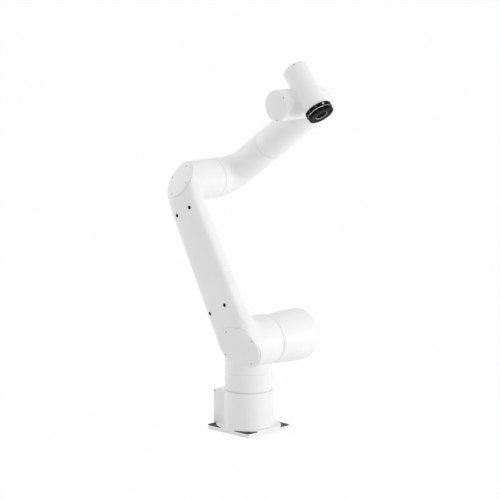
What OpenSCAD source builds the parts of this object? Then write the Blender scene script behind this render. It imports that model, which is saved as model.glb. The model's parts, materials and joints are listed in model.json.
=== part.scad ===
// Six-axis jointed arm on a square foot, standing in its working pose.
// Millimetres, +Z up, +X forward, origin at the middle of the foot's underside.

/* [Foot and base] */
// Width of the foot beyond the base barrel
foot_margin = 16; // [10:1:30]
// Height of the foot
foot_t = 18; // [14:1:24]
// Corner radius of the foot
foot_corner_r = 9; // [2:1:16]
// Margin between a fixing hole and the raised round land
land_margin = 8; // [4:0.5:12]
// Depth of the corner seats below the land
seat_drop = 5; // [2:0.5:8]
// Thickness of a corner seat plate
seat_t = 3; // [2:0.5:4]
// Distance of a fixing hole from the foot's sides
bolt_inset = 14; // [11:0.5:18]
// Diameter of a fixing hole
bolt_hole_d = 11; // [7:0.5:13]
// Diameter of the base barrel
base_d = 176; // [150:1:186]
// Height of the base barrel
base_h = 144; // [120:1:180]
// Fillet between base barrel and foot
base_fillet = 5; // [2:0.5:8]

/* [Connector housing] */
// Width of the connector housing
inlet_w = 148; // [120:1:156]
// Drop of the connector housing below the base barrel's top
inlet_drop = 3; // [2:1:24]
// Rounding of the housing's edges
inlet_round = 6; // [3:1:9]
// Margin between the connector panel and the housing's edges
panel_margin = 14; // [11:1:18]
// Thickness of the connector panel
panel_t = 3; // [2:0.5:5]

/* [Turret] */
// Diameter of the turret column
column_d = 168; // [150:1:172]
// Height of the seam between column and shoulder
collar_z = 207; // [190:1:230]
// Height of the shoulder axis
shoulder_z = 364; // [356:1:400]
// Forward offset of the shoulder axis
shoulder_x = 188; // [180:1:220]
// Diameter of the shoulder housing
shoulder_d = 180; // [174:1:186]
// Drop of the neck's pipe below the shoulder axis
neck_drop = 14; // [10:1:18]
// Diameter of the neck where it enters the shoulder housing
neck_d = 150; // [140:1:156]
// Inner radius of the neck's bend
neck_inner_r = 6; // [4:1:16]
// Outer end of the shoulder housing
shoulder_end_y = 79; // [77:1:100]
// Rounding of the shoulder housing's outer end
shoulder_round = 18; // [8:1:24]
// Thickness of the shoulder's end cover
end_cap_t = 4; // [3:0.5:8]

/* [Lower arm] */
// Diameter of the lower arm at the shoulder axis
arm_root_d = 166; // [162:1:170]
// Distance from shoulder axis to elbow axis
arm_len = 602; // [560:1:700]
// Lean of the lower arm behind the vertical
arm_lean = 26.7; // [0:0.1:40]
// Distance from the joint plane to the arm's outer face at its lower end
arm_reach_low = 170; // [160:1:190]
// Distance from the joint plane to the arm's outer face at its upper end
arm_reach_high = 188; // [180:1:200]
// Thickness of the arm's beam
arm_t = 66; // [56:1:76]
// Width of the beam at its lower end
arm_w_low = 152; // [140:1:166]
// Width of the beam at its upper end
arm_w_high = 136; // [126:1:138]
// Inner bend radius between beam and lower barrel
arm_fillet_low = 46; // [30:1:50]
// Inner bend radius between beam and upper barrel
arm_fillet_high = 26; // [16:1:34]
// Distance from the joint plane to the middle of the lower cover
cover_low_reach = 140; // [136:1:144]
// Distance from the joint plane to the middle of the upper cover
cover_high_reach = 156; // [152:1:160]
// Distance of a cover's middle beyond the joint axis
cover_beyond = 9; // [6:0.5:12]
// Tilt of the lower cover
cover_tilt_low = 27.5; // [22:0.5:32]
// Tilt of the upper cover
cover_tilt_high = 34; // [28:0.5:38]
// Diameter of the lower cover
cover_low_d = 160; // [140:1:162]
// Diameter of the upper cover
cover_high_d = 130; // [110:1:132]
// Thickness of a cover
cover_t = 6; // [4:0.5:8]

/* [Forearm] */
// Diameter at the elbow axis
elbow_d = 138; // [130:1:140]
// Distance from the joint plane to the forearm's middle plane
forearm_reach_y = 95; // [92:1:110]
// Diameter of the forearm tube
forearm_d = 111; // [100:1:120]
// Distance from elbow axis to wrist axis
forearm_len = 528; // [480:1:620]
// Distance from elbow axis to the roll seam
roll_seam = 220; // [190:1:260]
// Rise of the forearm above the horizontal
forearm_rise = 34.6; // [0:0.1:60]
// Inner radius of the elbow's bend
elbow_inner_r = 13; // [3:1:18]

/* [Wrist] */
// Diameter of the wrist barrel
wrist_d = 106; // [98:1:110]
// Inner radius of the knuckle's bend at the forearm's end
knuckle_inner_r = 2.5; // [1.5:0.5:6]
// Fullness of the knuckle's outer corner
knuckle_full = 0.15; // [0:0.01:0.3]
// Distance from the forearm's middle plane to the wrist seam
wrist_seam_y = 70; // [66:1:78]
// Distance from the forearm's middle plane to the wrist's end disc
wrist_end_y = 217; // [205:1:240]
// Thickness of the wrist's end disc
disc_t = 5; // [3:0.5:8]
// Distance from the forearm's middle plane to the tool axis
tool_y = 132; // [128:1:150]
// Offset of the tool axis from the wrist axis
tool_offset = 80; // [70:1:90]
// Dip of the tool axis below the horizontal
tool_dip = 49; // [0:0.5:90]
// Diameter of the tool tube
tool_d = 88; // [80:1:90]
// Length of the tool tube behind the wrist axis
tool_back = 78; // [72:1:110]
// Length of the tool tube ahead of the wrist axis
tool_front = 80; // [70:1:100]

/* [Tool flange] */
// Diameter of the control ring
ring_d = 94; // [90:1:100]
// Length of the control ring
ring_l = 13; // [10:0.5:18]
// Diameter of the tool flange
flange_d = 90; // [80:1:92]
// Thickness of the tool flange
flange_t = 11; // [8:0.5:16]
// Pitch circle of the flange's tool holes
flange_pcd = 63; // [56:0.5:66]
// Diameter of a tool hole
flange_hole_d = 6; // [4:0.5:8]
// Diameter of the flange's centre recess
flange_bore_d = 40; // [25:0.5:44]
// Depth of the flange's centre recess
flange_bore_l = 6; // [4:0.5:7]

/* [Clearances] */
// Gap between castings that turn on each other
joint_gap = 3; // [2:0.5:6]
// Running clearance of a seal ring
run = 0.3; // [0.2:0.05:0.5]
// Depth of a seal ring below the castings
seal_inset = 2; // [1:0.5:5]
// Chamfer on casting edges
edge = 1.5; // [0.5:0.5:3]

/* [Hidden] */

white = [0.93, 0.93, 0.92];
seal_grey = [0.45, 0.46, 0.47];
dark_grey = [0.22, 0.22, 0.23];
black = [0.06, 0.06, 0.065];
bright = [0.75, 0.76, 0.77];
$fn = 96;
ring_sides = 60;
bend_steps = 16;

// Foot and connector housing follow the base barrel
foot_side = base_d + 2 * foot_margin;
bolt_spacing = foot_side - 2 * bolt_inset;
land_r = bolt_spacing / sqrt(2) - bolt_hole_d / 2 - land_margin;
inlet_top = base_h - inlet_drop;

// Joint plane beside the turret, where lower arm, shoulder and elbow meet
joint_y = -forearm_reach_y;
half_gap = joint_gap / 2;
column_r = column_d / 2;
shoulder_r = shoulder_d / 2;
arm_root_r = arm_root_d / 2;
neck_z = shoulder_z - neck_drop;
neck_r = neck_d / 2;
elbow_r = elbow_d / 2;
forearm_r = forearm_d / 2;
wrist_r = wrist_d / 2;
tool_r = tool_d / 2;
column_bottom = base_h + joint_gap;
neck_bend = column_r + neck_inner_r;
elbow_bend = elbow_r + elbow_inner_r;
wrist_bend = forearm_r + knuckle_inner_r;

// Places of the axes
shoulder_at = [shoulder_x, 0, shoulder_z];
elbow_at = shoulder_at + arm_len * [-sin(arm_lean), 0, cos(arm_lean)];
wrist_at = elbow_at + forearm_len * [cos(forearm_rise), 0, sin(forearm_rise)];

// Roundness of the lower arm's beam, where 2 is an ellipse
beam_power = 3.6;

// Frames of the moving links
module arm_frame() { translate(shoulder_at) rotate([0, -arm_lean, 0]) children(); }
module forearm_frame() { translate(elbow_at) rotate([0, -forearm_rise, 0]) children(); }
module wrist_frame() { translate(wrist_at) rotate([0, tool_dip, 0]) children(); }
module tool_frame() { wrist_frame() translate([0, -tool_y, tool_offset]) rotate([0, 90, 0]) children(); }

// Solid skin over closed rings of equal count
module loft(rings) {
    n = len(rings[0]);
    last = len(rings) - 1;
    sides = [for (i = [0:last - 1], j = [0:n - 1])
        [i * n + j, i * n + (j + 1) % n, (i + 1) * n + (j + 1) % n, (i + 1) * n + j]];
    start = [for (j = [n - 1:-1:0]) j];
    end = [for (j = [0:n - 1]) last * n + j];
    polyhedron([for (r = rings) each r], concat([start, end], sides), convexity = 6);
}

function ease(t) = t * t * (3 - 2 * t);
function mix(a, b, t) = a + (b - a) * t;
function power_of(v, p) = sign(v) * pow(abs(v), p);
function turn_of(j) = 360 * j / ring_sides;

// Round bar with a chamfer at both ends, along +Z
module bar(r, l, c = edge) {
    rotate_extrude() polygon([[0, 0], [r - c, 0], [r, c], [r, l - c], [r - c, l], [0, l]]);
}

// Round bar along +Z, rounded at its start and its far end
module domed_bar(r, l, start_r, end_r) {
    rotate_extrude() union() {
        translate([0, start_r]) square([r, l - start_r - end_r]);
        square([r - start_r, l / 2]);
        translate([0, l / 2]) square([r - end_r, l / 2]);
        translate([r - start_r, start_r]) intersection() {
            circle(r = start_r);
            translate([0, -start_r]) square(start_r);
        }
        translate([r - end_r, l - end_r]) intersection() {
            circle(r = end_r);
            square(end_r);
        }
    }
}

// Square with round corners
module round_square(w, d, r) {
    union() {
        square([w - 2 * r, d], center = true);
        square([w, d - 2 * r], center = true);
        for (x = [-1, 1], y = [-1, 1]) translate([x * (w / 2 - r), y * (d / 2 - r)]) circle(r = r);
    }
}

module at_bolts() {
    for (x = [-1, 1], y = [-1, 1]) translate([x, y, 0] * bolt_spacing / 2) children();
}

// Plan of the four corners outside the round land
module corner_plan() {
    difference() {
        round_square(foot_side, foot_side, foot_corner_r);
        circle(r = land_r);
    }
}

seat_z = foot_t - seat_drop;

module base_casting() {
    color(white) difference() {
        union() {
            linear_extrude(foot_t) round_square(foot_side, foot_side, foot_corner_r);
            cylinder(r = base_d / 2, h = base_h - edge);
            translate([0, 0, base_h - edge]) cylinder(r1 = base_d / 2, r2 = base_d / 2 - edge, h = edge);
            translate([0, 0, foot_t]) root_fillet(base_d / 2, base_fillet);
        }
        translate([0, 0, seat_z]) linear_extrude(foot_t) corner_plan();
        at_bolts() translate([0, 0, -1]) cylinder(d = bolt_hole_d, h = foot_t + 2);
    }
}

// Concave ring round the root of a barrel of radius r
module root_fillet(r, fillet) {
    rotate_extrude() translate([r - run, 0]) difference() {
        square(fillet + run);
        translate([fillet + run, fillet + run]) circle(r = fillet + run);
    }
}

module corner_seats() {
    color(dark_grey) difference() {
        translate([0, 0, seat_z]) linear_extrude(seat_t) corner_plan();
        at_bolts() translate([0, 0, seat_z - 1]) cylinder(d = bolt_hole_d, h = seat_t + 2);
    }
}

inlet_back = -foot_side / 2;
panel_w = inlet_w - 2 * panel_margin;
panel_h = inlet_top - foot_t - 2 * panel_margin;
panel_z = foot_t + panel_margin;

// Side profile of the connector housing, rounded over at its top rear edge
module inlet_profile() {
    union() {
        translate([inlet_back, foot_t]) square([-inlet_back, inlet_top - foot_t - inlet_round]);
        translate([inlet_back + inlet_round, foot_t]) square([-inlet_back - inlet_round, inlet_top - foot_t]);
        translate([inlet_back + inlet_round, inlet_top - inlet_round]) circle(r = inlet_round);
    }
}

// Plan of the connector housing, rounded at its rear corners
module inlet_plan() {
    r = inlet_round;
    union() {
        translate([inlet_back + r, -inlet_w / 2]) square([-inlet_back - r, inlet_w]);
        translate([inlet_back, -inlet_w / 2 + r]) square([-inlet_back, inlet_w - 2 * r]);
        for (y = [-1, 1]) translate([inlet_back + r, y * (inlet_w / 2 - r)]) circle(r = r);
    }
}

module connector_housing() {
    color(white) difference() {
        intersection() {
            translate([0, inlet_w / 2, 0]) rotate([90, 0, 0]) linear_extrude(inlet_w) inlet_profile();
            translate([0, 0, foot_t]) linear_extrude(inlet_top) inlet_plan();
        }
        cylinder(r = base_d / 2, h = base_h);
        translate([0, 0, foot_t]) cylinder(r = base_d / 2 + base_fillet + run, h = base_fillet + run);
        translate([inlet_back - 1, -panel_w / 2 - run, panel_z - run])
            cube([panel_t + 1, panel_w + 2 * run, panel_h + 2 * run]);
    }
}

module connector_panel() {
    color(seal_grey) translate([inlet_back, -panel_w / 2, panel_z]) cube([panel_t, panel_w, panel_h]);
}

socket_d = 30;
socket_l = 2;
socket_pitch = 40;

module connector_sockets() {
    color(black) for (y = [-1, 1])
        translate([inlet_back - socket_l, y * socket_pitch / 2, panel_z + panel_h / 2]) rotate([0, 90, 0])
            bar(socket_d / 2, socket_l, socket_l / 2);
}

module axis_1_seal() {
    color(seal_grey) translate([0, 0, base_h]) cylinder(r = column_r - seal_inset, h = joint_gap - run);
}

module column_sleeve() {
    color(white) translate([0, 0, column_bottom]) bar(column_r, collar_z - column_bottom);
}

// Pipe elbow that narrows from the column into the shoulder housing; the housing's joint end
// is rounded down to the lower arm's root
module shoulder_casting() {
    bend = [for (i = [0:bend_steps]) let (a = 90 * i / bend_steps)
        bend_ring(mix(column_r, neck_r, ease(a / 90)), neck_bend, a)];
    start_z = collar_z - neck_z;
    start = [side_ring(column_r - edge, start_z), side_ring(column_r, start_z + edge)];
    housing_l = shoulder_end_y - joint_y - half_gap;
    color(white) union() {
        translate([0, 0, neck_z]) rotate([90, 0, 0])
            loft(concat(start, bend, [pipe_ring(neck_r, shoulder_x)]));
        translate([shoulder_x, joint_y + half_gap, shoulder_z]) rotate([-90, 0, 0])
            domed_bar(shoulder_r, housing_l, shoulder_r - arm_root_r, shoulder_round);
    }
}

module shoulder_end_cap() {
    color(white) translate([shoulder_x, shoulder_end_y, shoulder_z]) rotate([-90, 0, 0])
        bar(shoulder_r - shoulder_round - edge, end_cap_t);
}

module axis_2_seal() {
    color(seal_grey) translate([shoulder_x, joint_y + half_gap, shoulder_z]) rotate([90, 0, 0])
        cylinder(r = arm_root_r - seal_inset, h = joint_gap - run);
}

// Middle of a tilted cover, as [y, distance beyond the barrel axis]
cover_low_at = [joint_y - cover_low_reach, cover_beyond];
cover_high_at = [joint_y - cover_high_reach, cover_beyond];

// Ring of the lower arm where it fans from a joint barrel into the beam.
// z runs from the barrel axis towards the other joint.
function fan_ring(a, r, w, arm_reach, fillet) = let (
    t = ease(a / 90),
    pivot_y = joint_y - arm_reach + arm_t + fillet,
    pivot_z = r + fillet,
    far = pow(pow(cos(a) / (pivot_z + r), 8) + pow(sin(a) / (arm_t + fillet), 8), -1 / 8),
    p = 2 / mix(2, beam_power, t),
    half = mix(r, w / 2, t))
    [for (j = [0:ring_sides - 1]) let (
        reach = fillet + (far - fillet) * (1 - power_of(cos(turn_of(j)), p)) / 2)
        [half * power_of(sin(turn_of(j)), p), pivot_y - sin(a) * reach, pivot_z - cos(a) * reach]];

function low_ring(a) = fan_ring(a, arm_root_r, arm_w_low, arm_reach_low, arm_fillet_low);
function high_ring(a) = flip_end(fan_ring(a, elbow_r, arm_w_high, arm_reach_high, arm_fillet_high));
function barrel_ring(r, y) = [for (j = [0:ring_sides - 1]) [r * sin(turn_of(j)), y, r * cos(turn_of(j))]];
function flip_end(ring) = [for (q = ring) [q[0], q[1], arm_len - q[2]]];

// Place of a cover: its outer face in the XY plane, +Z outwards
module on_low_seat() {
    translate([0, cover_low_at[0], -cover_low_at[1]]) rotate([90 + cover_tilt_low, 0, 0]) children();
}

module on_high_seat() {
    translate([0, cover_high_at[0], arm_len + cover_high_at[1]]) rotate([90 - cover_tilt_high, 0, 0])
        children();
}

// Cuts away what stands outside a cover's seat
module seat_cut() {
    translate([0, 0, arm_reach_high - cover_t]) cube(2 * arm_reach_high, center = true);
}

module lower_arm_casting() {
    start_y = joint_y - half_gap;
    low = [for (i = [0:bend_steps]) low_ring(90 * i / bend_steps)];
    high = [for (i = [bend_steps:-1:0]) high_ring(90 * i / bend_steps)];
    rings = concat([barrel_ring(arm_root_r, start_y)], low, high, [flip_end(barrel_ring(elbow_r, start_y))]);
    color(white) arm_frame() difference() {
        loft(rings);
        on_low_seat() seat_cut();
        on_high_seat() seat_cut();
    }
}

// Round covers with chamfered rims, lying on the tilted seats of the lower arm
module lower_arm_bottom_cover() {
    color(white) arm_frame() on_low_seat() translate([0, 0, -cover_t]) bar(cover_low_d / 2, cover_t);
}

module lower_arm_top_cover() {
    color(white) arm_frame() on_high_seat() translate([0, 0, -cover_t]) bar(cover_high_d / 2, cover_t);
}

module axis_3_seal() {
    color(seal_grey) translate(elbow_at) translate([0, joint_y - half_gap, 0]) rotate([-90, 0, 0])
        cylinder(r = elbow_r - seal_inset, h = joint_gap - run);
}

// Ring of a pipe along +X, and of a pipe that turns from side_y towards +X about a bend
function pipe_ring(r, x) = [for (j = [0:ring_sides - 1]) [x, r * sin(turn_of(j)), r * cos(turn_of(j))]];
function side_ring(r, y) = [for (j = [0:ring_sides - 1]) [-r * sin(turn_of(j)), y, r * cos(turn_of(j))]];

// Ring of a bend from +Y (a = 0) to +X (a = 90); the two pipe axes cross at the origin,
// and full widens the outer corner
function bend_ring(r, b, a, full = 0) = [for (j = [0:ring_sides - 1]) let (
    side = sin(turn_of(j)),
    q = b + r * side * (side > 0 ? 1 + full * sin(2 * a) : 1))
    [b - q * cos(a), -b + q * sin(a), r * cos(turn_of(j))]];

module elbow_casting() {
    start_y = joint_y + half_gap;
    bend = [for (i = [0:bend_steps]) let (a = 90 * i / bend_steps)
        bend_ring(mix(elbow_r, forearm_r, ease(a / 90)), elbow_bend, a)];
    rings = concat([side_ring(elbow_r, start_y)], bend, [pipe_ring(forearm_r, roll_seam - half_gap)]);
    color(white) forearm_frame() loft(rings);
}

module axis_4_seal() {
    color(seal_grey) forearm_frame() translate([roll_seam - half_gap, 0, 0]) rotate([0, 90, 0])
        cylinder(r = forearm_r - seal_inset, h = joint_gap - run);
}

module forearm_casting() {
    bend = [for (i = [0:bend_steps]) let (a = 90 - 90 * i / bend_steps)
        bend_ring(mix(forearm_r, wrist_r, ease(1 - a / 90)), wrist_bend, a, knuckle_full)];
    knuckle = [for (r = bend) [for (q = r) [forearm_len - q[0], q[1], q[2]]]];
    end_y = -wrist_seam_y + half_gap;
    end = [for (q = side_ring(wrist_r, end_y)) [forearm_len - q[0], q[1], q[2]]];
    color(white) forearm_frame() loft(concat([pipe_ring(forearm_r, roll_seam + half_gap)], knuckle, [end]));
}

module axis_5_seal() {
    color(seal_grey) translate(wrist_at) translate([0, -wrist_seam_y + half_gap, 0]) rotate([90, 0, 0])
        cylinder(r = wrist_r - seal_inset, h = joint_gap - run);
}

module wrist_casting() {
    color(white) union() {
        translate(wrist_at) translate([0, -wrist_seam_y - half_gap, 0]) rotate([90, 0, 0])
            bar(wrist_r, wrist_end_y - disc_t - wrist_seam_y - half_gap);
        tool_frame() translate([0, 0, -tool_back]) bar(tool_r, tool_back + tool_front);
    }
}

module wrist_side_disc() {
    color(white) translate(wrist_at) translate([0, -wrist_end_y + disc_t, 0]) rotate([90, 0, 0])
        bar(wrist_r - edge, disc_t);
}

cap_t = 14;

module tool_tube_cap() {
    color(white) tool_frame() translate([0, 0, -tool_back]) mirror([0, 0, 1])
        domed_bar(tool_r, cap_t, edge, cap_t - 2 * edge);
}

module control_ring() {
    color(black) tool_frame() translate([0, 0, tool_front]) difference() {
        bar(ring_d / 2, ring_l);
        button_pockets();
    }
}

button_d = 7;
button_depth = 2;
button_turns = [198, 232];

module button_pockets() {
    for (a = button_turns) rotate([0, 0, a]) translate([ring_d / 2 - button_depth, 0, ring_l / 2])
        rotate([0, 90, 0]) cylinder(d = button_d, h = ring_d);
}

module control_buttons() {
    color(bright) tool_frame() translate([0, 0, tool_front]) for (a = button_turns) rotate([0, 0, a])
        translate([ring_d / 2 - button_depth, 0, ring_l / 2]) rotate([0, 90, 0])
            cylinder(d = button_d, h = button_depth);
}

spacer_t = 2;
flange_z = tool_front + ring_l + spacer_t + run;

module spacer_ring() {
    color(bright) tool_frame() translate([0, 0, tool_front + ring_l])
        cylinder(r = flange_d / 2 - edge, h = spacer_t);
}

module tool_flange() {
    color(black) tool_frame() translate([0, 0, flange_z]) difference() {
        bar(flange_d / 2, flange_t);
        translate([0, 0, flange_t - flange_bore_l]) cylinder(d = flange_bore_d, h = flange_bore_l + 1);
        for (a = [0:60:300]) rotate([0, 0, a]) translate([flange_pcd / 2, 0, -1])
            cylinder(d = flange_hole_d, h = flange_t + 2);
    }
}

base_casting();
corner_seats();
connector_housing();
connector_panel();
connector_sockets();
axis_1_seal();
column_sleeve();
shoulder_casting();
shoulder_end_cap();
axis_2_seal();
lower_arm_casting();
lower_arm_bottom_cover();
lower_arm_top_cover();
axis_3_seal();
elbow_casting();
axis_4_seal();
forearm_casting();
axis_5_seal();
wrist_casting();
wrist_side_disc();
tool_tube_cap();
control_ring();
control_buttons();
spacer_ring();
tool_flange();
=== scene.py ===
"""Looks of a white six-axis jointed arm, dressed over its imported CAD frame.

Metres, +Z up, +X forward, origin at the middle of the foot's underside.
"""
import json
from math import cos, pi, radians, sin

import bpy
from mathutils import Matrix, Vector

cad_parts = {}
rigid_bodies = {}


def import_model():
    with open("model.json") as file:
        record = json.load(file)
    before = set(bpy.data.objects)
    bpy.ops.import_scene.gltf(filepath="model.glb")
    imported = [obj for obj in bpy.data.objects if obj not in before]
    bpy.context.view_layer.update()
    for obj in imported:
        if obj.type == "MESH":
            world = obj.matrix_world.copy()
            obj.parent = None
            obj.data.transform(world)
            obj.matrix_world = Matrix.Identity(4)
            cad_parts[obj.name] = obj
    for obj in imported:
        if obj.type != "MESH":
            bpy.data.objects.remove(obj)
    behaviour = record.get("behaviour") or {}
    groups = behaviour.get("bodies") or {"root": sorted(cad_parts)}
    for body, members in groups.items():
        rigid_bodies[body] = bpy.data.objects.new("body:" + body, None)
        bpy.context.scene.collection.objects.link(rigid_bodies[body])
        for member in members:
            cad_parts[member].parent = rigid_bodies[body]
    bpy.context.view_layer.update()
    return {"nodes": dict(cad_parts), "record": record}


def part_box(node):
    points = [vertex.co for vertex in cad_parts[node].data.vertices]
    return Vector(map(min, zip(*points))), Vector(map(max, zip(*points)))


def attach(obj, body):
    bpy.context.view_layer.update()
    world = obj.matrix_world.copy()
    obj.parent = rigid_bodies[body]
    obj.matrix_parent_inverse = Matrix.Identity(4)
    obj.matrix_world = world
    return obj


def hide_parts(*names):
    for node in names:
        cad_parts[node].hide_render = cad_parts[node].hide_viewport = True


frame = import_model()
scene = bpy.context.scene
nodes = frame["nodes"]
record = frame["record"]
behaviour = record["behaviour"]
axis_at = {j["name"]: Vector(j["pos_m"]) for j in behaviour["joints"]}
axis_dir = {j["name"]: Vector(j["axis"]).normalized() for j in behaviour["joints"]}
body_of_node = {n: b for b, members in behaviour["bodies"].items() for n in members}
slot_of_node = {s["node"]: s["material_slot"] for s in record["subparts"]}

# Directions and joint places at rest
FRONT, SIDE, UP = Vector((1, 0, 0)), Vector((0, 1, 0)), Vector((0, 0, 1))
REAR = -FRONT
shoulder, elbow, wrist = axis_at["axis_2"], axis_at["axis_3"], axis_at["axis_5"]
forearm_dir = axis_dir["axis_4"]
tool_at, tool_dir = axis_at["axis_6"], axis_dir["axis_6"]
arm_len = (elbow - shoulder).length


def arm_frame():
    """Frame of the lower arm: origin at the shoulder, +X across the arm, +Z up the arm."""
    up = (elbow - shoulder).normalized()
    across = Vector((up.z, 0, -up.x))
    turn = Matrix((across, SIDE, across.cross(SIDE))).transposed().to_4x4()
    return Matrix.Translation(shoulder) @ turn


ARM = arm_frame()


# Materials

NOISE_SPAN = (0.3, 0.7)
CLOUD_DETAIL, GRAIN_DETAIL = 3.0, 2.0
GLOSS_PER_CLOUD = 4
GRAIN_DEPTH = 0.0004


def new_material(name):
    """Empty node material with its Principled shader and Object coordinates."""
    mat = bpy.data.materials.new(name)
    mat.use_nodes = True
    tree = mat.node_tree
    shader = tree.nodes["Principled BSDF"]
    coords = tree.nodes.new("ShaderNodeTexCoord")
    return mat, tree, shader, coords.outputs["Object"]


def add_noise(tree, coords, scale, detail=CLOUD_DETAIL):
    """Noise value on Object coordinates."""
    noise = tree.nodes.new("ShaderNodeTexNoise")
    noise.inputs["Scale"].default_value = scale
    noise.inputs["Detail"].default_value = detail
    tree.links.new(coords, noise.inputs["Vector"])
    return noise.outputs["Fac"]


def add_range(tree, value, low, high):
    """Noise value spread between two limits."""
    spread = tree.nodes.new("ShaderNodeMapRange")
    spread.inputs["From Min"].default_value, spread.inputs["From Max"].default_value = NOISE_SPAN
    spread.inputs["To Min"].default_value = low
    spread.inputs["To Max"].default_value = high
    tree.links.new(value, spread.inputs["Value"])
    return spread.outputs["Result"]


def add_tint(tree, value, dark, light):
    """Colour between two shades of grey."""
    ramp = tree.nodes.new("ShaderNodeValToRGB")
    for stop, position, shade_of_grey in zip(ramp.color_ramp.elements, NOISE_SPAN, (dark, light)):
        stop.position = position
        stop.color = (shade_of_grey, shade_of_grey, shade_of_grey, 1)
    tree.links.new(value, ramp.inputs["Fac"])
    return ramp.outputs["Color"]


def add_bump(tree, shader, value, strength):
    """Fine relief on the shader's normal."""
    bump = tree.nodes.new("ShaderNodeBump")
    bump.inputs["Strength"].default_value = strength
    bump.inputs["Distance"].default_value = GRAIN_DEPTH
    tree.links.new(value, bump.inputs["Height"])
    tree.links.new(bump.outputs["Normal"], shader.inputs["Normal"])


def finish_material(name, dark, light, rough, cloud=8.0, grain=700.0, relief=0.05, metallic=0.0,
                    specular=0.5):
    """Finish with a cloudy tint between two greys, uneven gloss and a fine grain."""
    mat, tree, shader, coords = new_material(name)
    tint = add_tint(tree, add_noise(tree, coords, cloud), dark, light)
    tree.links.new(tint, shader.inputs["Base Color"])
    gloss = add_range(tree, add_noise(tree, coords, cloud * GLOSS_PER_CLOUD), *rough)
    tree.links.new(gloss, shader.inputs["Roughness"])
    add_bump(tree, shader, add_noise(tree, coords, grain, GRAIN_DETAIL), relief)
    shader.inputs["Metallic"].default_value = metallic
    shader.inputs["Specular IOR Level"].default_value = specular
    return mat


LOOKS = {
    "white_paint": dict(dark=0.86, light=0.89, rough=(0.38, 0.46), specular=0.3),
    "seal_rubber": dict(dark=0.72, light=0.77, rough=(0.6, 0.7), specular=0.3),
    "seat_metal": dict(dark=0.028, light=0.036, rough=(0.45, 0.6), cloud=30, specular=0.35),
    "panel_metal": dict(dark=0.36, light=0.41, rough=(0.4, 0.5)),
    "socket_plastic": dict(dark=0.02, light=0.028, rough=(0.4, 0.5)),
    "black_plastic": dict(dark=0.003, light=0.006, rough=(0.34, 0.44), cloud=20, grain=1500, relief=0.12,
                          specular=0.05),
    "button_plastic": dict(dark=0.6, light=0.66, rough=(0.2, 0.28)),
    "bright_metal": dict(dark=0.7, light=0.78, rough=(0.25, 0.35), cloud=40, grain=1200, metallic=1.0),
    "black_flange": dict(dark=0.004, light=0.008, rough=(0.3, 0.4), cloud=25, grain=1500, relief=0.08,
                         specular=0.03),
}
finishes = {name: finish_material(name, **look) for name, look in LOOKS.items()}


# Modelling helpers

CLEAR = 0.01  # How far a cutting tool runs past the piece that it cuts
HAIR = 1e-4  # Smallest edge and play
MERGE = 0.00002  # Corners of loose triangles that lie this close are one
STEPS, LARGE_STEPS, SMALL_STEPS = 96, 128, 32  # Corners round a turned piece


def clear_selection():
    bpy.ops.object.select_all(action="DESELECT")


def make_active(obj):
    clear_selection()
    obj.select_set(True)
    bpy.context.view_layer.objects.active = obj


def edit(obj):
    """Opens a piece in edit mode with nothing selected."""
    make_active(obj)
    bpy.ops.object.mode_set(mode="EDIT")
    bpy.ops.mesh.select_all(action="DESELECT")


def leave_edit():
    bpy.ops.object.mode_set(mode="OBJECT")


def pick(obj, mode, test):
    """Selects the vertices or edges of an open piece whose places pass a test."""
    bpy.ops.mesh.select_mode(type=mode)
    bpy.ops.mesh.select_all(action="DESELECT")
    leave_edit()
    mesh = obj.data
    if mode == "EDGE":
        for edge in mesh.edges:
            edge.select = test(*[mesh.vertices[i].co for i in edge.vertices])
    else:
        for vert in mesh.vertices:
            vert.select = test(vert.co)
    bpy.ops.object.mode_set(mode="EDIT")


def add_modifier(obj, kind, **settings):
    """Adds a modifier to a piece and applies it."""
    mod = obj.modifiers.new(kind.lower(), kind)
    for key, value in settings.items():
        setattr(mod, key, value)
    make_active(obj)
    bpy.ops.object.modifier_apply(modifier=mod.name)


def soften(obj, width, segments=2, angle=35.0):
    """Rounds the edges of a piece that are sharper than an angle."""
    add_modifier(obj, "BEVEL", width=width, segments=segments, limit_method="ANGLE",
                 angle_limit=radians(angle))


def shade(obj, angle=30.0):
    """Shades a piece smooth, apart from edges sharper than an angle."""
    make_active(obj)
    bpy.ops.object.shade_smooth_by_angle(angle=radians(angle))
    return obj


def place(obj, matrix):
    """Moves a piece's mesh, so that its object stays at the origin."""
    obj.data.transform(matrix)
    obj.data.update()
    return obj


def along(origin, direction):
    """Matrix that stands +Z on a direction."""
    turn = Vector(direction).to_track_quat("Z", "Y").to_matrix().to_4x4()
    return Matrix.Translation(origin) @ turn


def dress(obj, name, body, slot, *stands_for):
    """Names a finished piece, gives it its finish and lets it ride on its body."""
    obj.name = name
    obj.data.name = name
    obj.data.materials.clear()
    obj.data.materials.append(finishes[slot])
    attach(obj, body)
    if stands_for:
        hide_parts(*stands_for)
    return obj


def dress_node(obj, node):
    """Dresses a piece that stands for one CAD node."""
    return dress(obj, node + "_skin", body_of_node[node], slot_of_node[node], node)


def join(name, *objs):
    """Joins pieces into the first one."""
    make_active(objs[0])
    for obj in objs[1:]:
        obj.select_set(True)
    if len(objs) > 1:
        bpy.ops.object.join()
    objs[0].name = name
    return objs[0]


def copies(obj, matrices):
    """One joined piece of a model's copies, each with its own mesh; the model goes."""
    made = []
    for matrix in matrices:
        copy = obj.copy()
        copy.data = obj.data.copy()
        scene.collection.objects.link(copy)
        made.append(place(copy, matrix))
    bpy.data.objects.remove(obj)
    return join("copies", *made)


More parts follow.
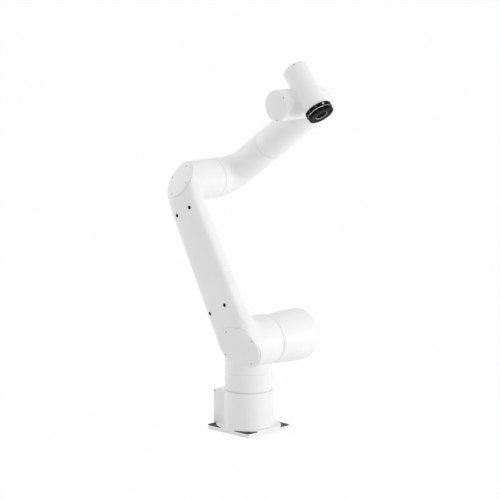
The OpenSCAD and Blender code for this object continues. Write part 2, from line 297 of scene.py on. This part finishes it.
def turned(profile, steps=STEPS):
    """Turned piece about +Z: a disc extruded ring by ring along (radius, height) points."""
    clear_selection()
    bpy.ops.mesh.primitive_circle_add(vertices=steps, radius=profile[0][0], fill_type="NGON")
    obj = bpy.context.object
    place(obj, Matrix.Translation((0, 0, profile[0][1])))
    bpy.ops.object.mode_set(mode="EDIT")
    bpy.ops.mesh.select_all(action="SELECT")
    for (r_from, z_from), (r_to, z_to) in zip(profile, profile[1:]):
        bpy.ops.mesh.extrude_region_move(TRANSFORM_OT_translate={"value": (0, 0, z_to - z_from)})
        grow = r_to / r_from
        bpy.ops.transform.resize(value=(grow, grow, 1), center_override=(0, 0, z_to))
    bpy.ops.mesh.select_all(action="SELECT")
    bpy.ops.mesh.normals_make_consistent(inside=False)
    leave_edit()
    return obj


def rounded_end(r, z, edge, steps=4, up=1):
    """Profile points of a rounded edge that closes a turned piece at height z."""
    points = []
    for i in range(steps + 1):
        a = pi / 2 * i / steps
        points.append((r - edge + edge * cos(a), z - up * edge * (1 - sin(a))))
    return points


def round_bar(r, low, high, edge_low, edge_high, steps=STEPS):
    """Turned bar between two heights with rounded edges."""
    start = rounded_end(r, low, edge_low, up=-1)[::-1]
    return turned(start + rounded_end(r, high, edge_high), steps)


def cut(obj, tool, operation="DIFFERENCE"):
    """Boolean of a piece with a tool, which goes."""
    add_modifier(obj, "BOOLEAN", object=tool, operation=operation, solver="EXACT")
    bpy.data.objects.remove(tool)
    return obj


def bar_tool(r, low, high, matrix=Matrix(), steps=SMALL_STEPS):
    """Plain round bar to cut or build with."""
    return place(turned([(r, low), (r, high)], steps), matrix)


def box_tool(low, high):
    """Box to cut or build with, between two corners."""
    clear_selection()
    bpy.ops.mesh.primitive_cube_add(size=1)
    low, high = Vector(low), Vector(high)
    scale = Matrix.Diagonal((*(high - low), 1))
    return place(bpy.context.object, Matrix.Translation((low + high) / 2) @ scale)


def merged_copy(node):
    """Copy of a CAD node with its loose triangles merged."""
    copy = nodes[node].copy()
    copy.data = nodes[node].data.copy()
    for key in list(copy.keys()):
        del copy[key]
    copy.parent = None
    scene.collection.objects.link(copy)
    edit(copy)
    bpy.ops.mesh.select_all(action="SELECT")
    bpy.ops.mesh.remove_doubles(threshold=MERGE)
    bpy.ops.mesh.tris_convert_to_quads()
    leave_edit()
    return copy


def half_width(node, axis):
    """Half of a node's size along X, Y or Z, given as 0, 1 or 2."""
    low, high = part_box(node)
    return (high[axis] - low[axis]) / 2


# Foot and base

LAND_RISE, LAND_SINK = 0.005, 0.002
LAND_HALF, LAND_STEPS = (0.1215, 0.1085), 160
SEAT_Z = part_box("corner_seats")[0].z
SEAT_EDGE = 0.0005
FOOT_TOP = SEAT_Z + LAND_RISE
FOOT_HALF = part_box("base_casting")[1].x
FOOT_CORNER_R, FOOT_EDGE = 0.009, 0.0009
HOLE_R, HOLE_INSET = 0.0055, 0.014
HOLE_AT = FOOT_HALF - HOLE_INSET
BASE_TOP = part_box("base_casting")[1].z
BASE_INSET = 0.016
BASE_R = FOOT_HALF - BASE_INSET
BASE_EDGE = 0.0018
BASE_SINK = 0.004
ROOT_FILLET, ROOT_SINK, ROOT_STEPS = 0.005, 0.001, 5
GROOVE_DROP, GROOVE_DEPTH = 0.0075, 0.0007
GROOVE_MOUTH_HALF, GROOVE_BED_HALF = 0.0007, 0.0003


def foot_block(low, high):
    """Square block of the foot's plan with round corners."""
    block = box_tool((-FOOT_HALF, -FOOT_HALF, low), (FOOT_HALF, FOOT_HALF, high))
    edit(block)
    pick(block, "EDGE", lambda a, b: abs(a.z - b.z) > (high - low) / 2)
    bpy.ops.mesh.bevel(offset=FOOT_CORNER_R, segments=8)
    leave_edit()
    return block


def land_bar(low, high):
    """Bar of the land's oval plan, a little longer from front to back."""
    return bar_tool(1, low, high, Matrix.Diagonal((*LAND_HALF, 1, 1)), LAND_STEPS)


def drill_foot(obj):
    """Drills the four fixing holes."""
    for x in (-HOLE_AT, HOLE_AT):
        for y in (-HOLE_AT, HOLE_AT):
            cut(obj, bar_tool(HOLE_R, -CLEAR, FOOT_TOP + CLEAR, Matrix.Translation((x, y, 0))))


def model_foot():
    """Square foot with its oval land."""
    foot = foot_block(0, SEAT_Z)
    land = cut(land_bar(SEAT_Z - LAND_SINK, FOOT_TOP), foot_block(0, FOOT_TOP), "INTERSECT")
    cut(foot, land, "UNION")
    drill_foot(foot)
    soften(foot, FOOT_EDGE, 2, 40)
    return shade(foot)


def model_base_barrel():
    """Barrel on the foot, with a filleted root and a fine groove below its top."""
    profile = [(BASE_R + ROOT_FILLET, FOOT_TOP - BASE_SINK)]
    for i in range(ROOT_STEPS + 1):
        a = pi / 2 * i / ROOT_STEPS
        rise = ROOT_FILLET * (1 - cos(a)) - ROOT_SINK
        profile.append((BASE_R + ROOT_FILLET * (1 - sin(a)), FOOT_TOP + rise))
    for depth, height in ((0, -GROOVE_MOUTH_HALF), (GROOVE_DEPTH, -GROOVE_BED_HALF),
                          (GROOVE_DEPTH, GROOVE_BED_HALF), (0, GROOVE_MOUTH_HALF)):
        profile.append((BASE_R - depth, BASE_TOP - GROOVE_DROP + height))
    barrel = turned(profile + rounded_end(BASE_R, BASE_TOP, BASE_EDGE), LARGE_STEPS)
    return shade(barrel, 35)


def model_corner_seats():
    """Dark plates in the four corners outside the land, each with its fixing hole."""
    low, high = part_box("corner_seats")
    plates = cut(foot_block(low.z, high.z), land_bar(low.z - CLEAR, high.z + CLEAR))
    drill_foot(plates)
    soften(plates, SEAT_EDGE)
    return shade(plates)


dress_node(join("base", model_foot(), model_base_barrel()), "base_casting")
dress_node(model_corner_seats(), "corner_seats")


# Connector housing at the rear

BOX_TOP_ROUND, BOX_SIDE_ROUND, BOX_EDGE = 0.006, 0.005, 0.001
BOX_REAR = 0.02  # Side edges that start this near the rear are well rounded
BOX_MARGIN = 0.001  # Edges this near the front or the floor aren't
PANEL_PLAY, PANEL_EDGE = 0.0003, 0.0006
FLAT = radians(1)


def model_connector_housing():
    """Box behind the base barrel, its outer edges well rounded, with a recess for the panel."""
    low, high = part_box("connector_housing")
    panel_low, panel_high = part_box("connector_panel")

    def rear_top(a, b):
        return max(a.x, b.x) < low.x + HAIR and min(a.z, b.z) > high.z - HAIR

    def rear_sides(a, b):
        on_side = abs(a.y - b.y) < HAIR and abs(abs(a.y) - high.y) < HAIR
        at_rear = min(a.x, b.x) < low.x + BOX_REAR and max(a.x, b.x) < high.x - BOX_MARGIN
        return on_side and at_rear and max(a.z, b.z) > low.z + BOX_MARGIN

    block = box_tool(low, high)
    edit(block)
    pick(block, "EDGE", rear_top)
    bpy.ops.mesh.bevel(offset=BOX_TOP_ROUND, segments=5)
    pick(block, "EDGE", rear_sides)
    bpy.ops.mesh.bevel(offset=BOX_SIDE_ROUND, segments=4)
    leave_edit()
    play = Vector((0, PANEL_PLAY, PANEL_PLAY))
    cut(block, box_tool(panel_low - play + REAR * CLEAR, panel_high + play))
    soften(block, BOX_EDGE, 2, 40)
    return shade(block)


def model_connector_panel():
    """Flat panel with softened edges."""
    panel = merged_copy("connector_panel")
    edit(panel)
    bpy.ops.mesh.select_all(action="SELECT")
    bpy.ops.mesh.dissolve_limited(angle_limit=FLAT)
    leave_edit()
    soften(panel, PANEL_EDGE)
    return shade(panel)


dress_node(model_connector_housing(), "connector_housing")
dress_node(model_connector_panel(), "connector_panel")


# Turned pieces of the turret and the joints

BAR_EDGE = 0.0012
SEAL_HALF = half_width("axis_2_seal", 1)
SEAL_LIP = 0.0013
SLEEVE_LAP, SLEEVE_EDGE = 0.0016, 3e-4
# Seals as (direction, measured axis, how far the lip stands past the CAD disc)
SEALS = {
    "axis_1_seal": (UP, 0, 0.0),
    "axis_2_seal": (SIDE, 0, SEAL_LIP),
    "axis_3_seal": (SIDE, 0, SEAL_LIP),
    "axis_4_seal": (forearm_dir, 1, SEAL_LIP),
    "axis_5_seal": (SIDE, 0, SEAL_LIP),
}


def dress_bar(node, axis_from, direction, r, low, high, edge_low=BAR_EDGE, edge_high=BAR_EDGE,
              steps=STEPS):
    """Turned bar that stands for a CAD node."""
    bar = place(round_bar(r, low, high, edge_low, edge_high, steps), along(axis_from, direction))
    dress_node(shade(bar, 35), node)


for seal, (direction, across, lip) in SEALS.items():
    low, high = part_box(seal)
    dress_bar(seal, (low + high) / 2, direction, half_width(seal, across) + lip, -SEAL_HALF, SEAL_HALF,
              HAIR, HAIR)
low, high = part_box("column_sleeve")
dress_bar("column_sleeve", (0, 0, 0), UP, half_width("column_sleeve", 0), low.z, high.z + SLEEVE_LAP,
          edge_high=SLEEVE_EDGE, steps=LARGE_STEPS)


# Castings of joined barrels

SMOOTHING, LAST_ROUNDS = 0.5, 2


def off_axis(point, origin, direction):
    """Distance of a point from an axis."""
    gap = point - origin
    return (gap - direction * gap.dot(direction)).length


def cast_skin(node, voxel, axes, reach, rounds, shape=None):
    """Skin of a casting with a fillet where its barrels meet.

    axes holds (origin, direction, radius) of the barrels, and shape works on the copy first.
    """
    copy = merged_copy(node)
    if shape:
        shape(copy)
    add_modifier(copy, "REMESH", mode="VOXEL", voxel_size=voxel, use_smooth_shade=True)

    def near_both(point):
        return all(abs(off_axis(point, o, d) - r) < reach for o, d, r in axes)

    edit(copy)
    pick(copy, "VERT", near_both)
    bpy.ops.mesh.vertices_smooth(factor=SMOOTHING, repeat=rounds)
    bpy.ops.mesh.select_more()
    bpy.ops.mesh.select_more()
    bpy.ops.mesh.vertices_smooth(factor=SMOOTHING, repeat=rounds // 3)
    bpy.ops.mesh.select_all(action="SELECT")
    bpy.ops.mesh.vertices_smooth(factor=SMOOTHING, repeat=LAST_ROUNDS)
    leave_edit()
    dress_node(shade(copy, 45), node)


# Shoulder casting, a pipe elbow that runs into the housing of the second axis

NECK_R, NECK_DROP, NECK_FROM, NECK_PLAY = 0.075, 0.014, 0.1, 3e-4
NECK_Z = shoulder.z - NECK_DROP
HOUSING_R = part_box("shoulder_casting")[1].x - shoulder.x
HOUSING_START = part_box("shoulder_casting")[0].y
ROOT_PROUD = 0.002
ROOT_R = half_width("axis_2_seal", 0) + ROOT_PROUD
TAPER_L, TAPER_LAP, TAPER_EDGE = 0.085, 0.001, 3e-4
HOUSING_PLAY = 0.0005


def draw_in_housing(copy):
    """Gives the housing a long taper down to the arm root, in place of its round shoulder."""
    at_start = along((shoulder.x, HOUSING_START, shoulder.z), SIDE)
    cut(copy, bar_tool(HOUSING_R + HOUSING_PLAY, -TAPER_LAP, TAPER_L, at_start, LARGE_STEPS))
    slope = [(ROOT_R - TAPER_EDGE, 0), (ROOT_R, TAPER_EDGE), (HOUSING_R, TAPER_L + TAPER_LAP)]
    cut(copy, place(turned(slope, LARGE_STEPS), at_start), "UNION")
    neck_at = along((NECK_FROM, 0, NECK_Z), FRONT)
    cut(copy, bar_tool(NECK_R - NECK_PLAY, 0, shoulder.x - NECK_FROM, neck_at, STEPS), "UNION")


cast_skin("shoulder_casting", voxel=0.0024, reach=0.02, rounds=40, shape=draw_in_housing,
          axes=[(UP * NECK_Z, FRONT, NECK_R), (shoulder, SIDE, HOUSING_R)])
low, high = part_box("shoulder_end_cap")
dress_bar("shoulder_end_cap", (shoulder.x, 0, shoulder.z), SIDE, half_width("shoulder_end_cap", 0),
          low.y, high.y, edge_low=HAIR)


# Arm castings

RIM_SHARP = 50  # Degrees from which an end edge counts as sharp
CAST_EDGE = 0.0006
COVER_T, COVER_EDGE = 0.006, 0.0014
# Covers of the lower arm in its own frame, with the ring of screws on each
COVERS = {
    "lower_arm_bottom_cover": dict(at=Vector((0, -0.235, -0.009)), tilt=radians(-27.5), r=0.080,
                                   screw_ring_r=0.071, first_screw=0.0),
    "lower_arm_top_cover": dict(at=Vector((0, -0.251, arm_len + 0.009)), tilt=radians(34), r=0.065,
                                screw_ring_r=0.054, first_screw=radians(-34)),
}


def pipe_skin(node):
    """Skin of a bent pipe casting, subdivided once with its end edges kept."""
    copy = merged_copy(node)
    edit(copy)
    bpy.ops.mesh.select_mode(type="EDGE")
    bpy.ops.mesh.edges_select_sharp(sharpness=radians(RIM_SHARP))
    bpy.ops.transform.edge_crease(value=1)
    leave_edit()
    add_modifier(copy, "SUBSURF", levels=1, render_levels=1)
    soften(copy, CAST_EDGE, 3, RIM_SHARP)
    dress_node(shade(copy, 40), node)


def model_lower_arm():
    """C-shaped casting with soft edges round its cover seats."""
    copy = merged_copy("lower_arm_casting")
    soften(copy, CAST_EDGE, 2, 40)
    return shade(copy, 35)


def cover_out(cover):
    """Outward direction of a cover in the arm's frame."""
    tilt = COVERS[cover]["tilt"]
    return Vector((0, -cos(tilt), sin(tilt)))


def model_cover(cover):
    """Round cover on its tilted seat."""
    lid = round_bar(COVERS[cover]["r"], -COVER_T, 0, HAIR, COVER_EDGE)
    place(lid, ARM @ along(COVERS[cover]["at"], cover_out(cover)))
    return shade(lid, 35)


pipe_skin("elbow_casting")
pipe_skin("forearm_casting")
lower_arm_skin = dress_node(model_lower_arm(), "lower_arm_casting")
for cover in COVERS:
    dress_node(model_cover(cover), cover)


# Wrist

DISC_R, DISC_INSET, DISC_EDGE = half_width("wrist_side_disc", 0), 0.0015, 0.002
WRIST_R = DISC_R + DISC_INSET
TUBE_R = 0.044

cast_skin("wrist_casting", voxel=0.0017, reach=0.016, rounds=60,
          axes=[(wrist, SIDE, WRIST_R), (tool_at, tool_dir, TUBE_R)])
low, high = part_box("wrist_side_disc")
dress_bar("wrist_side_disc", (wrist.x, 0, wrist.z), -SIDE, DISC_R, -high.y, -low.y, HAIR, DISC_EDGE)


# Tool end, with heights along the tool axis from the place of axis 6

TOOL_AXIS = along(tool_at, tool_dir)
TUBE_BACK, TUBE_FRONT = -0.078, 0.080
CAP_T, CAP_ROUND = 0.014, 0.011
CAP_LIP, CAP_OVERLAP = 0.0002, 0.004
RING_R, RING_L, RING_EDGE = 0.047, 0.013, 0.001
RING_LIP, RING_SLOPE, WAIST_DEPTH = 0.0016, 0.0008, 0.0008
RING_FRONT = TUBE_FRONT + RING_L
SPACER_R, SPACER_T = 0.0448, 0.002
FINE_EDGE = 2e-4
FLANGE_R, FLANGE_T, FLANGE_LOW = 0.045, 0.011, 0.0953
FLANGE_TOP = FLANGE_LOW + FLANGE_T
FLANGE_EDGE_LOW, FLANGE_EDGE_TOP, FLANGE_ROUND = 0.0012, 0.0015, 0.0007
FLANGE_HOLES, FLANGE_HOLES_R, FLANGE_HOLE_R, FLANGE_HOLE_STEPS = 6, 0.0315, 0.003, 24
RECESS_R, RECESS_L, RECESS_STEPS = 0.020, 0.006, 64
RIM_W, RIM_PLAY, RIM_SUNK, RIM_LIP = 0.0018, 5e-5, 1e-4, 3e-4
RIM_R = RECESS_R + RIM_W
INSERT_L, INSERT_SUNK, INSERT_PLAY, INSERT_WALL = 0.005, 0.0008, 1e-4, 0.0008


def ring_of(r, count, start=0.0):
    """Evenly spaced (x, y) places on a circle."""
    return [(r * cos(start + 2 * pi * i / count), r * sin(start + 2 * pi * i / count))
            for i in range(count)]


def spots_on(matrix, places):
    """Matrices for copies at (x, y) places on a frame's XY plane."""
    return [matrix @ Matrix.Translation((x, y, 0)) for x, y in places]


def model_tube_cap():
    """Domed cap at the back of the tool tube, its lip just proud of the tube."""
    return round_bar(TUBE_R + CAP_LIP, TUBE_BACK - CAP_T, TUBE_BACK + CAP_OVERLAP, CAP_ROUND, FINE_EDGE)


def model_control_ring():
    """Black ring with a shallow waist, so that its two lips catch the light."""
    waist_r = RING_R - WAIST_DEPTH
    waist_from = RING_LIP + RING_SLOPE
    waist = [(RING_R, TUBE_FRONT + RING_LIP), (waist_r, TUBE_FRONT + waist_from),
             (waist_r, RING_FRONT - waist_from), (RING_R, RING_FRONT - RING_LIP)]
    back = rounded_end(RING_R, TUBE_FRONT, RING_EDGE, up=-1)[::-1]
    return turned(back + waist + rounded_end(RING_R, RING_FRONT, RING_EDGE), LARGE_STEPS)


def model_spacer():
    """Bright ring between the control ring and the flange."""
    return round_bar(SPACER_R, RING_FRONT, RING_FRONT + SPACER_T, FINE_EDGE, FINE_EDGE)


def model_flange():
    """Tool flange with a centre recess, a seat for the recess rim and six tool holes."""
    top = FLANGE_TOP + CLEAR
    flange = round_bar(FLANGE_R, FLANGE_LOW, FLANGE_TOP, FLANGE_EDGE_LOW, FLANGE_EDGE_TOP, LARGE_STEPS)
    cut(flange, bar_tool(RECESS_R, FLANGE_TOP - RECESS_L, top, steps=RECESS_STEPS))
    cut(flange, bar_tool(RIM_R + RIM_PLAY, FLANGE_TOP - RIM_W, top, steps=STEPS))
    for spot in spots_on(Matrix(), ring_of(FLANGE_HOLES_R, FLANGE_HOLES)):
        cut(flange, bar_tool(FLANGE_HOLE_R, FLANGE_LOW - CLEAR, top, spot, FLANGE_HOLE_STEPS))
    soften(flange, FLANGE_ROUND, 2, 40)
    return flange


def model_insert():
    """Steel thread insert, seated just below a tool hole's mouth."""
    insert = round_bar(FLANGE_HOLE_R - INSERT_PLAY, -INSERT_L, -INSERT_SUNK, FINE_EDGE, FINE_EDGE,
                       FLANGE_HOLE_STEPS)
    cut(insert, bar_tool(FLANGE_HOLE_R - INSERT_WALL, -CLEAR, CLEAR, steps=FLANGE_HOLE_STEPS))
    return shade(insert)


def model_recess_highlight_ring():
    """Pale grey ring with a conical mouth, let into the flange round its recess; its pale grey is a
    painted highlight on the recess edge.
    """
    ring = bar_tool(RIM_R, RIM_PLAY - RIM_W, -RIM_SUNK, steps=STEPS)
    mouth_r = RIM_R - RIM_LIP
    cut(ring, turned([(RECESS_R, -CLEAR), (RECESS_R, -RIM_W), (mouth_r, 0), (mouth_r, CLEAR)]))
    return shade(ring)


# Pieces of the tool end with the angle that each is shaded by
TOOL_PIECES = (("tool_tube_cap", model_tube_cap, 35), ("control_ring", model_control_ring, 35),
               ("spacer_ring", model_spacer, 35), ("tool_flange", model_flange, 30))
for node, model, angle in TOOL_PIECES:
    dress_node(shade(place(model(), TOOL_AXIS), angle), node)


# Screws and plugs, each size as (radius, height)

EDGE_SHARE = 0.6  # Part of a head's height that is rounded
KEY_FLOOR = 0.35  # Height of a key socket's floor, as a part of the head's height
KEY_SIDES = 6
PLUG_TOP = (0.5, 0.2)  # Rings of a plug's flat top, as parts of its radius
ARM_SCREW, ARM_SCREW_KEY_R = (0.0025, 0.0009), 0.0012
CAP_SCREW, CAP_SCREW_KEY_R = (0.0035, 0.0012), 0.0017
CAP_SCREW_RING_R = 0.063
PANEL_SCREW, PANEL_SCREW_KEY_R = (0.003, 0.001), 0.0014
PANEL_SCREW_INSET = 0.007
ARM_PLUG = (0.0062, 0.001)
# Places of the lower arm's plugs in its own frame, across and along it
ARM_PLUGS_AT = [(-0.053, 0.138), (0.032, 0.1405), (-0.034, 0.495), (0.037, 0.4985)]
OUTSIDE = 0.5  # Distance to the arm's right from which its face is sought
NOTCH_SHADE = (0.0023, 0.0006)
# Places of the side disc's grey plugs, a painted shade of two small notches near its rim, forward and up
# from its middle
NOTCH_SHADES_AT = [(0.0362, 0.0303), (0.0052, -0.0482)]
# Places on the tool tube as (height, angle in degrees), and the buttons' angles
# The tool tube's grey plug is a painted shade of a small notch at its cap seam.
TUBE_NOTCH_SHADE, TUBE_NOTCH_SHADE_AT = (0.0026, 0.0006), (-0.0835, 42.5)
TUBE_DOT, TUBE_DOT_AT = (0.0016, 0.0005), (0.0094, -39.8)
BUTTON = (0.0038, 0.0011)
# The button at this angle is painted pale as a painted highlight; the same buttons at the other angles
# keep a dark finish.
HIGHLIGHT_BUTTON = 18.4
DARK_BUTTONS = (-15.4, 52.2, 86)
BOX_PLUG, BOX_PLUG_INSET = (0.0026, 0.0006), Vector((0.009, 0, -0.0055))


def model_screw(head_r, head_h, key_r):
    """Button-head screw along +Z with a hexagon socket."""
    wall = [(head_r, 0), (head_r, head_h * (1 - EDGE_SHARE))]
    head = turned(wall + rounded_end(head_r, head_h, head_h * EDGE_SHARE)[1:], SMALL_STEPS)
    cut(head, bar_tool(key_r, head_h * KEY_FLOOR, head_h + CLEAR, steps=KEY_SIDES))
    return shade(head)


def model_plug(r, h):
    """Round plug along +Z with a softly rounded top."""
    wall = [(r, -h), (r, h * (1 - EDGE_SHARE))]
    top = [(r * share, h) for share in PLUG_TOP]
    plug = turned(wall + rounded_end(r, h, h * EDGE_SHARE)[1:-1] + top, SMALL_STEPS)
    return shade(plug, 40)


def cover_face(cover):
    """Frame on a cover's outer face: +X across the arm, +Z outwards."""
    out = cover_out(cover)
    turn = Matrix((FRONT, out.cross(FRONT), out)).transposed().to_4x4()
    return ARM @ Matrix.Translation(COVERS[cover]["at"]) @ turn


def on_arm_face(across, up_arm):
    """Frame on the lower arm's outer skin, +Z outwards."""
    _, spot, out, _ = lower_arm_skin.ray_cast(ARM @ Vector((across, -OUTSIDE, up_arm)), SIDE)
    return along(spot, out)


def on_right(x, y, z):
    """Frame on a face that looks along -Y."""
    return Matrix.Translation((x, y, z)) @ Matrix.Rotation(pi / 2, 4, "X")


def on_tube(height, degrees, r=TUBE_R):
    """Frame on the tool tube's skin; the angle runs from its upper side towards -Y."""
    angle = radians(degrees)
    out = tool_dir.cross(SIDE) * cos(angle) - SIDE * sin(angle)
    return along(tool_at + tool_dir * height + out * r, out)


def on_ring(degrees):
    """Frame in the control ring's waist."""
    return on_tube((TUBE_FRONT + RING_FRONT) / 2, degrees, RING_R - WAIST_DEPTH)


for cover, look in COVERS.items():
    screw_spots = ring_of(look["screw_ring_r"], 4, look["first_screw"])
    screws = copies(model_screw(*ARM_SCREW, ARM_SCREW_KEY_R), spots_on(cover_face(cover), screw_spots))
    dress(screws, cover + "_screws", "lower_arm", "panel_metal")

bpy.context.view_layer.update()
plugs = copies(model_plug(*ARM_PLUG), [on_arm_face(*spot) for spot in ARM_PLUGS_AT])
dress(plugs, "lower_arm_face_plugs", "lower_arm", "black_plastic")

end_face = along((shoulder.x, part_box("shoulder_end_cap")[1].y, shoulder.z), SIDE)
screws = copies(model_screw(*CAP_SCREW, CAP_SCREW_KEY_R), spots_on(end_face, ring_of(CAP_SCREW_RING_R, 6)))
dress(screws, "shoulder_end_cap_screws", "turret", "panel_metal")

disc_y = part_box("wrist_side_disc")[0].y
# Grey plugs on the side disc's rim: painted shade of two small notches.
notch_shades = copies(model_plug(*NOTCH_SHADE), [on_right(wrist.x + x, disc_y, wrist.z + z) for x, z in NOTCH_SHADES_AT])
dress(notch_shades, "wrist_disc_notch_shades", "wrist", "panel_metal")
# Grey plug on the tool tube: painted shade of a small notch at the cap seam.
dress(place(model_plug(*TUBE_NOTCH_SHADE), on_tube(*TUBE_NOTCH_SHADE_AT)), "tool_tube_notch_shade", "wrist", "panel_metal")
dress(place(model_plug(*TUBE_DOT), on_tube(*TUBE_DOT_AT)), "tool_tube_dot", "wrist", "panel_metal")

# This button's pale finish is a painted highlight; the others are dark.
pale = place(model_plug(*BUTTON), on_ring(HIGHLIGHT_BUTTON))
dress(pale, "control_buttons_skin", "wrist", "button_plastic", "control_buttons")
dark = copies(model_plug(*BUTTON), [on_ring(degrees) for degrees in DARK_BUTTONS])
dress(dark, "control_buttons_dark", "wrist", "seat_metal")

flange_face = TOOL_AXIS @ Matrix.Translation((0, 0, FLANGE_TOP))
inserts = copies(model_insert(), spots_on(flange_face, ring_of(FLANGE_HOLES_R, FLANGE_HOLES)))
dress(inserts, "tool_hole_inserts", "tool", "bright_metal")
# The pale ring round the recess is a painted highlight on the recess edge.
dress(place(model_recess_highlight_ring(), flange_face), "tool_recess_painted_highlight", "tool", "panel_metal")


# Connector sockets with their pins, and the fittings round them

SOCKET_R, SOCKET_H, SOCKET_EDGE, SOCKET_STEPS = 0.015, 0.002, 0.0006, 64
SOCKET_RECESS_R, SOCKET_FLOOR, SOCKET_RECESS_STEPS = 0.0115, 0.0006, 48
PIN_PROFILE, PIN_STEPS = [(0.0007, 0.0003), (0.0007, 0.0014), (0.0004, 0.0018)], 12
PIN_RING_R = 0.0072
SOCKET_PINS = (8, 5)


def model_socket(pins):
    """Round panel socket along +Z: a flange, a recess and its contact pins."""
    body = round_bar(SOCKET_R, 0, SOCKET_H, HAIR, SOCKET_EDGE, SOCKET_STEPS)
    cut(body, bar_tool(SOCKET_RECESS_R, SOCKET_FLOOR, CLEAR, steps=SOCKET_RECESS_STEPS))
    shade(body)
    tips = copies(turned(PIN_PROFILE, PIN_STEPS), spots_on(Matrix(), ring_of(PIN_RING_R, pins)))
    return join("socket", body, tips)


panel_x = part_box("connector_panel")[0].x
low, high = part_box("connector_sockets")
socket_y = high.y - SOCKET_R
socket_spots = [along((panel_x, y, (low.z + high.z) / 2), REAR) for y in (-socket_y, socket_y)]
sockets = [place(model_socket(pins), spot) for pins, spot in zip(SOCKET_PINS, socket_spots)]
dress_node(join("sockets", *sockets), "connector_sockets")

low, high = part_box("connector_panel")
panel_spots = [Matrix.Translation((low.x, y, z)) @ Matrix.Rotation(-pi / 2, 4, "Y")
               for y in (low.y + PANEL_SCREW_INSET, high.y - PANEL_SCREW_INSET)
               for z in (low.z + PANEL_SCREW_INSET, high.z - PANEL_SCREW_INSET)]
screws = copies(model_screw(*PANEL_SCREW, PANEL_SCREW_KEY_R), panel_spots)
dress(screws, "connector_panel_screws", "base", "seat_metal")
low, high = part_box("connector_housing")
box_corner = Vector((low.x, low.y, high.z))
box_plug = place(model_plug(*BOX_PLUG), on_right(*(box_corner + BOX_PLUG_INSET)))
dress(box_plug, "connector_housing_plug", "base", "seat_metal")


# Stage, lights and camera

AIM = Vector((0, 0, 0.65))
CAMERA_TURN, CAMERA_RISE, CAMERA_FAR = radians(45.606), radians(9.766), 9.588
LENS, SENSOR = 196.31, 36
FRAME_SHIFT = (0.003, -0.00318)
WORLD_LEVEL = 0.76
FLOOR_SIZE, FLOOR_DROP = 60, 0.0005
FLOOR_GREY, FLOOR_GLOW = 0.9, 0.955
WHITE = (1, 1, 1, 1)
# Softboxes as (turn in degrees, distance, height, size, power)
SOFTBOXES = {
    "right_softbox": (118, 3.4, 0.5, (3.0, 0.9), 40),
    "left_softbox": (-80, 4.8, 0.5, (3.0, 1.6), 44),
    "top_softbox": (0, 0.05, 4.0, (3.0, 3.0), 12),
}


def add_camera():
    """Long-lens camera that looks at the middle of the arm."""
    data = bpy.data.cameras.new("camera")
    data.lens = LENS
    data.sensor_width = SENSOR
    data.shift_x, data.shift_y = FRAME_SHIFT
    camera = bpy.data.objects.new("camera", data)
    scene.collection.objects.link(camera)
    level = Vector((sin(CAMERA_TURN), -cos(CAMERA_TURN), 0))
    back = level * cos(CAMERA_RISE) + UP * sin(CAMERA_RISE)
    camera.location = AIM + back * CAMERA_FAR
    camera.rotation_mode = "QUATERNION"
    camera.rotation_quaternion = (-back).to_track_quat("-Z", "Y")
    scene.camera = camera


def add_softbox(name, turn, far, height, size, power):
    """Area lamp that looks at the middle of the arm from a height above the floor."""
    data = bpy.data.lights.new(name, "AREA")
    data.shape = "RECTANGLE"
    data.size, data.size_y = size
    data.energy = power
    lamp = bpy.data.objects.new(name, data)
    scene.collection.objects.link(lamp)
    lamp.location = (sin(radians(turn)) * far, -cos(radians(turn)) * far, height)
    lamp.rotation_mode = "QUATERNION"
    lamp.rotation_quaternion = (AIM - lamp.location).to_track_quat("-Z", "Y")


def shown_ray(tree):
    """1 for rays that show the backdrop: from the camera, off gloss or through glass."""
    path = tree.nodes.new("ShaderNodeLightPath")
    total = path.outputs["Is Camera Ray"]
    for name in ("Is Glossy Ray", "Is Transmission Ray"):
        most = tree.nodes.new("ShaderNodeMath")
        most.operation = "MAXIMUM"
        tree.links.new(total, most.inputs[0])
        tree.links.new(path.outputs[name], most.inputs[1])
        total = most.outputs[0]
    return total


def mix_shown(tree, hidden, shown, output):
    """Joins the shader that lights the object with the one that shows."""
    mix = tree.nodes.new("ShaderNodeMixShader")
    tree.links.new(shown_ray(tree), mix.inputs[0])
    tree.links.new(hidden.outputs[0], mix.inputs[1])
    tree.links.new(shown.outputs[0], mix.inputs[2])
    tree.links.new(mix.outputs[0], tree.nodes[output].inputs["Surface"])


def add_world():
    """Even soft light, white where it shows."""
    world = bpy.data.worlds.new("studio")
    scene.world = world
    world.use_nodes = True
    tree = world.node_tree
    soft = tree.nodes["Background"]
    soft.inputs["Color"].default_value = WHITE
    soft.inputs["Strength"].default_value = WORLD_LEVEL
    white = tree.nodes.new("ShaderNodeBackground")
    white.inputs["Color"].default_value = WHITE
    mix_shown(tree, soft, white, "World Output")


def add_floor():
    """Pale floor, white to the camera where no shadow falls."""
    clear_selection()
    bpy.ops.mesh.primitive_plane_add(size=FLOOR_SIZE, location=(0, 0, -FLOOR_DROP))
    floor = bpy.context.object
    floor.name = "floor"
    mat = bpy.data.materials.new("pale_floor")
    mat.use_nodes = True
    tree = mat.node_tree
    tree.nodes.remove(tree.nodes["Principled BSDF"])
    matt = tree.nodes.new("ShaderNodeBsdfDiffuse")
    matt.inputs["Color"].default_value = (FLOOR_GREY, FLOOR_GREY, FLOOR_GREY, 1)
    glow = tree.nodes.new("ShaderNodeEmission")
    bright = tree.nodes.new("ShaderNodeMixShader")
    bright.inputs[0].default_value = FLOOR_GLOW
    tree.links.new(matt.outputs[0], bright.inputs[1])
    tree.links.new(glow.outputs[0], bright.inputs[2])
    mix_shown(tree, matt, bright, "Material Output")
    floor.data.materials.append(mat)


add_camera()
add_world()
for name, box in SOFTBOXES.items():
    add_softbox(name, *box)
add_floor()
scene.view_settings.view_transform = "Standard"
